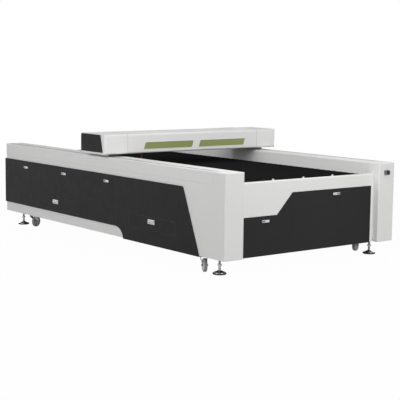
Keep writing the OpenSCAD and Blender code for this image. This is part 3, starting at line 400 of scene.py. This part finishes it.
def cheek(pin_foot, back, out):
    """Fork cheek: a sheet that runs down from the crown and closes round the axle's boss.

    On the way down its middle moves back by the trail and its half width shrinks, both by a
    smoothstep; below the axle the half width is the boss's circle. It stands out by a flare
    that fades with the square of the way left."""
    upper = np.linspace(CROWN_Z + CHEEK_UP, AXLE_Z, 14)
    turn = np.linspace(0, np.pi / 2, 8)[1:]
    z = np.concatenate([upper, AXLE_Z - BOSS_R * np.sin(turn)])
    way = np.clip((CROWN_Z - z) / (CROWN_Z - AXLE_Z), 0, 1)
    ease = way ** 2 * (3 - 2 * way)
    half = CHEEK_HALF + (BOSS_R - CHEEK_HALF) * ease
    half[len(upper):] = BOSS_R * np.cos(turn)
    u = np.linspace(-1, 1, 5)
    u, skin = np.concatenate([u, u[::-1]]), np.repeat([0, CHEEK_T], len(u))
    along = (TRAIL * ease)[:, None] + half[:, None] * u
    aside = (CHEEK_IN + FLARE * (1 - way) ** 2)[:, None] + skin
    local = np.stack([along, aside, z[:, None] + 0 * along], -1)
    local = np.concatenate([np.broadcast_to(local[0].mean(0), local[:1].shape), local])
    return np.array(pin_foot) + MM * local @ np.array([back, out, (0, 0, 1)])


for corner in corners:
    castor, wheel = "castor_" + corner, "wheel_" + corner
    pin_foot = np.array(joints[castor]["pos_m"]) * (1, 1, 0)
    hub, axle = (np.array(joints[wheel][key]) for key in ("pos_m", "axis"))
    back = (hub - pin_foot) * (1, 1, 0)
    back /= np.linalg.norm(back)
    cheeks = [cheek(pin_foot, back, out) for out in (axle, -axle)]
    piece("fork_" + corner, [turned(crown, pin_foot), *cheeks, turned(axle_bolt, hub, axle, 24)],
          "fork_zinc", castor, ["castor_fork_" + corner], close_rows=False)

# Loading balls in their cups on the ball rail, in mm
BALLS, BALL_R, BALL_GAP, CUP_R, CUP_H = 5, 8.5, 0.3, 14.5, 8.5
cup = [(6, 0), (CUP_R, 0), (CUP_R, CUP_H - 2), (CUP_R - 2, CUP_H), (9.2, CUP_H),
       (8.9, CUP_H - 3), (6, 1.6)]
sweep = np.linspace(-np.pi / 2, np.pi / 2, 17)
ball = np.stack([BALL_R * np.cos(sweep), BALL_R + BALL_GAP + BALL_R * np.sin(sweep)], -1)
low, high = box("ball_transfers")
seats = [(x, (low[1] + high[1]) / 2, low[2])
         for x in np.linspace(low[0] + CUP_R * MM, high[0] - CUP_R * MM, BALLS)]
piece("ball_cups", [turned(cup, seat) for seat in seats], "zinc", "machine", ["ball_transfers"])
piece("loading_balls", [turned(ball, seat, steps=32) for seat in seats], "zinc", "machine",
      ["ball_transfers"], finish=ball_nylon, close_rows=False)

# Grey grips and dark key locks on the latches, in mm
GRIP_HALF, GRIP_RISE, GRIP_IN, LOCK_T = (19.0, 7.5), 0.8, 9.0, 1.5
key_lock = [(0, 0), (5.2, 0), (5.2, 0.5), (4.7, 0.9), (1.6, 0.9), (1.3, 0.3), (0, 0.3)]


def low_plate(centre, along, outward):
    """Low plate of fourth-power superellipses, full at the foot, drawn in at the rim and closed."""
    t = np.linspace(0, 2 * np.pi, 48, endpoint=False)[None, :, None]
    u, v = (np.sign(w) * np.sqrt(np.abs(w)) for w in (np.cos(t), np.sin(t)))
    width, rise = (np.array(c)[:, None, None] for c in ((0, 1, 1, 0.93, 0), (0, 0, 0.6, 1, 1)))
    flat = width * (GRIP_HALF[0] * u * np.array(along) + GRIP_HALF[1] * v * np.array((0, 0, 1)))
    return np.array(centre) + MM * (flat + rise * GRIP_RISE * np.array(outward))


# Each latch: the end that its lock is at, and the axis that it faces, 0 for X and 1 for Y
for latch, end, out in (("left_latch_1", 1, 0), ("left_latch_2", 1, 0), ("left_latch_3", 1, 0),
                        ("front_latch_1", -1, 1), ("front_latch_2", 1, 1)):
    low, high = box(latch)
    long_axis = 1 - out
    along, outward = np.eye(3)[long_axis], -np.eye(3)[out]
    lock = (low + high) / 2
    lock[long_axis] += end * ((high - low)[long_axis] - (high - low)[2]) / 2
    lock[out] = low[out]
    grip = lock + MM * (GRIP_IN * -end * along - LOCK_T * outward)
    piece(latch + "_grip", [low_plate(grip, along, outward)], "switch_grey", latch,
          finish=grip_nylon, close_rows=False)
    piece(latch + "_lock", [turned(key_lock, lock, outward, 24)], "switch_black", latch,
          close_rows=False)


def rounded_path(corner_points, radius, steps):
    """Closed outline with eased corners: at each a parabola from radius before to radius after."""
    here = np.array(corner_points, float)
    before = np.roll(here, 1, 0) - here
    after = np.roll(here, -1, 0) - here
    first = here + radius * before / np.linalg.norm(before, axis=1)[:, None]
    last = here + radius * after / np.linalg.norm(after, axis=1)[:, None]
    t = np.linspace(0, 1, steps)[None, :, None]
    bend = ((1 - t) ** 2 * first[:, None] + 2 * t * (1 - t) * here[:, None]
            + t ** 2 * last[:, None])
    return bend.reshape(-1, 2)


def bead(path, face_y, half_width, rise):
    """Half-round bead along a closed outline in X and Z: a half ellipse stands at each point."""
    tangent = np.roll(path, -1, 0) - np.roll(path, 1, 0)
    tangent /= np.linalg.norm(tangent, axis=1)[:, None]
    normal = np.stack([tangent[:, 1], -tangent[:, 0]], -1)
    s = np.linspace(0, np.pi, 9)[:, None]
    flat = path[None] + half_width * np.cos(s)[..., None] * normal[None]
    return np.stack([flat[..., 0], face_y - rise * np.sin(s) + 0 * flat[..., 0], flat[..., 1]], -1)


# White edge trim round the two viewing windows
PANE_OVERLAP, WINDOW_HALF, WINDOW_LEAN, WINDOW_OUT = 12 * MM, 284 * MM, 11 * MM, 323 * MM
TRIM_CORNER, TRIM_HALF, TRIM_RISE = 14 * MM, 3 * MM, 2 * MM
low, high = box("gantry_windows")
face_y = box("gantry_cover")[0][1]
z0, z1 = low[2] + PANE_OVERLAP, high[2] - PANE_OVERLAP
trims = []
for x in ((low[0] + high[0]) / 2 - WINDOW_OUT, (low[0] + high[0]) / 2 + WINDOW_OUT):
    outline = [(x + side * WINDOW_HALF + lean * WINDOW_LEAN, z)
               for side, lean, z in ((-1, -1, z0), (1, -1, z0), (1, 1, z1), (-1, 1, z1))]
    trims.append(bead(rounded_path(outline, TRIM_CORNER, 9), face_y, TRIM_HALF, TRIM_RISE))
piece("window_trims", trims, "white_paint", "gantry")


def gap_shade_line(x, path, half_width, rise):
    """Painted shade of a joint gap at one X: a half ellipse stands at each point of a Y and Z path,
    ends closed.
    """
    tangent = np.gradient(path, axis=0)
    normal = np.stack([-tangent[:, 1], tangent[:, 0]], -1)
    normal /= np.linalg.norm(tangent, axis=1)[:, None]
    s = np.linspace(0, np.pi, 7)[None, :]
    y, z = (path[:, i, None] + rise * np.sin(s) * normal[:, i, None] for i in (0, 1))
    strip = np.stack([x + half_width * np.cos(s) + 0 * y, y, z], -1)
    ends = [np.broadcast_to(strip[i].mean(0), strip[:1].shape) for i in (0, -1)]
    return np.concatenate([ends[0], strip, ends[1]])


# Painted shade in the joints between the gantry's cover and end caps: a dark strip up the front,
# round the fold, back over the top
FOLD_R, JOINT_HALF, JOINT_RISE = 18 * MM, 0.75 * MM, 0.2 * MM
low, high = box("gantry_cover")
top_z = box("gantry_end_caps")[1][2]
fold = np.linspace(0, np.pi / 2, 9)
over = np.stack([face_y + FOLD_R * (1 - np.cos(fold)), top_z - FOLD_R * (1 - np.sin(fold))], -1)
over = np.concatenate([[(face_y, low[2] + FOLD_R)], over, [(high[1] - FOLD_R, top_z)]])
piece("gantry_gap_shades", [gap_shade_line(x, over, JOINT_HALF, JOINT_RISE)
                        for x in (low[0] - JOINT_HALF, high[0] + JOINT_HALF)],
      "belt", "gantry", close_rows=False)

# Button-head screws, in mm; the socket is a round recess
screw_head = np.array([(0, 0.9), (1.8, 0.9), (2.1, 2.5), (3.1, 2.4), (4.3, 1.6), (5.0, 0.5),
                       (5.0, 0), (0, 0)])


def screws(name, places, outward, body, slot, size=1.0):
    """A set of screws at the given points, all facing outward."""
    heads = [turned(screw_head * size, place, outward, 18) for place in places]
    piece(name, heads, slot, body, close_rows=False)


# End panels of the gantry: insets from the low edges in Y and Z, or from the high ones below zero
END_INSETS_MM = ((26, 18), (-20, 18), (-20, -19), (54, -17))
low, high = box("gantry_end_panels")
end_places = [[(low if inset > 0 else high)[axis] + inset * MM
               for axis, inset in zip((1, 2), insets)] for insets in END_INSETS_MM]
for side, x, way in (("left", low[0], -1), ("right", high[0], 1)):
    screws("end_panel_screws_" + side, [(x, y, z) for y, z in end_places], (way, 0, 0), "gantry",
           "switch_black")

PLATE_INSET, PLATE_SCREW = 6 * MM, 0.6
low, high = box("switch_plate")
screws("switch_plate_screws", [(x, low[1], z) for x in (low[0] + PLATE_INSET, high[0] - PLATE_INSET)
                               for z in (low[2] + PLATE_INSET, high[2] - PLATE_INSET)],
       (0, -1, 0), "machine", "zinc", PLATE_SCREW)

PANEL_INSET = 20 * MM
low, high = box("rear_panel")
across = np.linspace(low[0] + PANEL_INSET, high[0] - PANEL_INSET, 6)
upright = np.linspace(low[2] + PANEL_INSET, high[2] - PANEL_INSET, 4)
screws("rear_panel_screws", [(x, high[1], z) for x in across for z in upright[[0, -1]]]
       + [(x, high[1], z) for x in across[[0, -1]] for z in upright[1:-1]],
       (0, 1, 0), "machine", "switch_black")

SPIGOT_SCREWS, SPIGOT_CIRCLE, SPIGOT_FLANGE = 8, 85 * MM, 3 * MM
flange_y, hub = box("exhaust_spigot")[0][1] + SPIGOT_FLANGE, middle("exhaust_spigot")
screws("spigot_screws", [(hub[0] + SPIGOT_CIRCLE * math.cos(t), flange_y,
                          hub[2] + SPIGOT_CIRCLE * math.sin(t))
                         for t in np.linspace(0, 2 * np.pi, SPIGOT_SCREWS, endpoint=False)],
       (0, 1, 0), "machine", "zinc")

# Right side panel: rows along its top, its raised lower edge at the rear and its deep one in front
TOP_ROW_FROM, RAISED_ROW_FROM, RAISED_ROW_Z, DEEP_ROW = -1.22, -0.16, 0.256, (-1.47, -0.43)
low, high = box("right_side_panel")
rear_y = high[1] - PANEL_INSET
panel_rows = ((TOP_ROW_FROM, rear_y, 7, high[2] - PANEL_INSET),
              (RAISED_ROW_FROM, rear_y, 5, RAISED_ROW_Z), (*DEEP_ROW, 3, low[2] + PANEL_INSET))
screws("right_panel_screws", [(high[0], y, z) for start, end, count, z in panel_rows
                              for y in np.linspace(start, end, count)],
       (1, 0, 0), "machine", "switch_black")

# Camera: azimuth, elevation and roll of the photograph's view, its place and its focal length
VIEW_DEG, VIEW_PLACE = (-37.732, 7.152, 0.708), (-6.269, -8.358, 1.688)
FOCAL_PX, IMAGE_PX, SENSOR_MM, CLIP_END = 1067.43, 400, 36, 200
azimuth, elevation, roll = (math.radians(angle) for angle in VIEW_DEG)
back = Vector((math.sin(azimuth) * math.cos(elevation), -math.cos(azimuth) * math.cos(elevation),
               math.sin(elevation)))
right = Vector((math.cos(azimuth), math.sin(azimuth), 0))
up = back.cross(right)
rolled_right = right * math.cos(roll) + up * math.sin(roll)
rolled_up = up * math.cos(roll) - right * math.sin(roll)
camera = stand("camera", bpy.data.cameras.new("camera"))
camera.data.sensor_width = SENSOR_MM
camera.data.lens = FOCAL_PX * SENSOR_MM / IMAGE_PX
camera.data.clip_end = CLIP_END
camera.matrix_world = (Matrix.Translation(VIEW_PLACE)
                       @ Matrix((rolled_right, rolled_up, back)).transposed().to_4x4())
bpy.context.scene.camera = camera


def seen_rays(tree):
    """One for the rays that show the stage, to the eye, in metal and through glass, else zero."""
    path = add(tree, "LightPath")
    seen = add(tree, "Math", {0: path.outputs["Is Camera Ray"], 1: path.outputs["Is Glossy Ray"]},
               operation="MAXIMUM")
    seen = add(tree, "Math", {0: seen.outputs["Value"], 1: path.outputs["Is Transmission Ray"]},
               operation="MAXIMUM")
    return seen.outputs["Value"]


def backdrop(name, near_share, near_m, far_m):
    """White studio paper: rays that show it find it almost white near the object, with its shadow.

    With the distance from the middle it turns plain white, so that no edge shows against the
    white beyond."""
    speck_mm = 300
    material, tree, place = blank(name)
    reach = add(tree, "VectorMath", {0: place}, operation="LENGTH")
    white = add(tree, "MapRange", {"Value": reach.outputs["Value"], "From Min": near_m,
                                   "From Max": far_m, "To Min": near_share, "To Max": 1.0})
    speck = add(tree, "TexNoise", {"Vector": place, "Scale": 1 / (speck_mm * MM), "Detail": 2.0})
    paper = add(tree, "Mix", {SHARE: speck.outputs["Fac"], FIRST: linear("#bebebe"),
                              SECOND: linear("#c4c4c4")}, data_type="RGBA")
    diffuse = add(tree, "BsdfDiffuse", {"Color": paper.outputs[MIXED]})
    share = add(tree, "Math", {0: seen_rays(tree), 1: white.outputs["Result"]},
                operation="MULTIPLY")
    glow = add(tree, "Emission", {"Color": WHITE, "Strength": 1.0})
    mixed = add(tree, "MixShader", {0: share.outputs["Value"], 1: diffuse.outputs["BSDF"],
                                    2: glow.outputs["Emission"]})
    add(tree, "OutputMaterial", {"Surface": mixed.outputs["Shader"]})
    return material


# The floor lies just below the feet, so that no face is shared
FLOOR_HALF, FLOOR_Z = 60, -0.5 * MM
floor_mesh = bpy.data.meshes.new("floor")
floor_mesh.from_pydata([(x * FLOOR_HALF, y * FLOOR_HALF, FLOOR_Z)
                        for x, y in ((-1, -1), (1, -1), (1, 1), (-1, 1))], [], [(0, 1, 2, 3)])
floor_mesh.materials.append(backdrop("studio_paper", near_share=0.98, near_m=2.5, far_m=9.0))
floor = stand("floor", floor_mesh)

# The world is white to the rays that show it and a weak fill light to the others
FILL_LEVEL = 0.2
world = bpy.data.worlds.new("studio")
bpy.context.scene.world = world
world.use_nodes = True
sky = world.node_tree
sky.nodes.clear()
level = add(sky, "MapRange", {"Value": seen_rays(sky), "To Min": FILL_LEVEL, "To Max": 1.0})
studio = add(sky, "Background", {"Color": WHITE, "Strength": level.outputs["Result"]})
add(sky, "OutputWorld", {"Surface": studio.outputs["Background"]})


def softbox(name, place, target, size, power):
    """A square area lamp at place that faces target; size is in metres, power in watts."""
    lamp = bpy.data.lights.new(name, "AREA")
    lamp.size, lamp.energy = size, power
    holder = stand(name, lamp)
    holder.location = place
    holder.visible_camera = False
    facing = Vector(target) - Vector(place)
    holder.rotation_euler = facing.to_track_quat("-Z", "Y").to_euler()


MACHINE_MIDDLE, BED_MIDDLE = (0, 0, 0.5), (0.75, -0.6, 0.8)
softbox("front_softbox", (0.5, -9.0, 3.4), MACHINE_MIDDLE, size=5.0, power=342)
softbox("side_softbox", (-9.0, -0.6, 3.8), MACHINE_MIDDLE, size=5.0, power=352)
softbox("bed_softbox", (-0.45, -1.9, 2.6), BED_MIDDLE, size=2.0, power=27)
softbox("right_softbox", (9.0, 1.0, 1.8), MACHINE_MIDDLE, size=4.0, power=190)
softbox("rear_softbox", (-0.5, 9.5, 1.8), MACHINE_MIDDLE, size=4.0, power=210)

bpy.context.scene.view_settings.view_transform = "Standard"
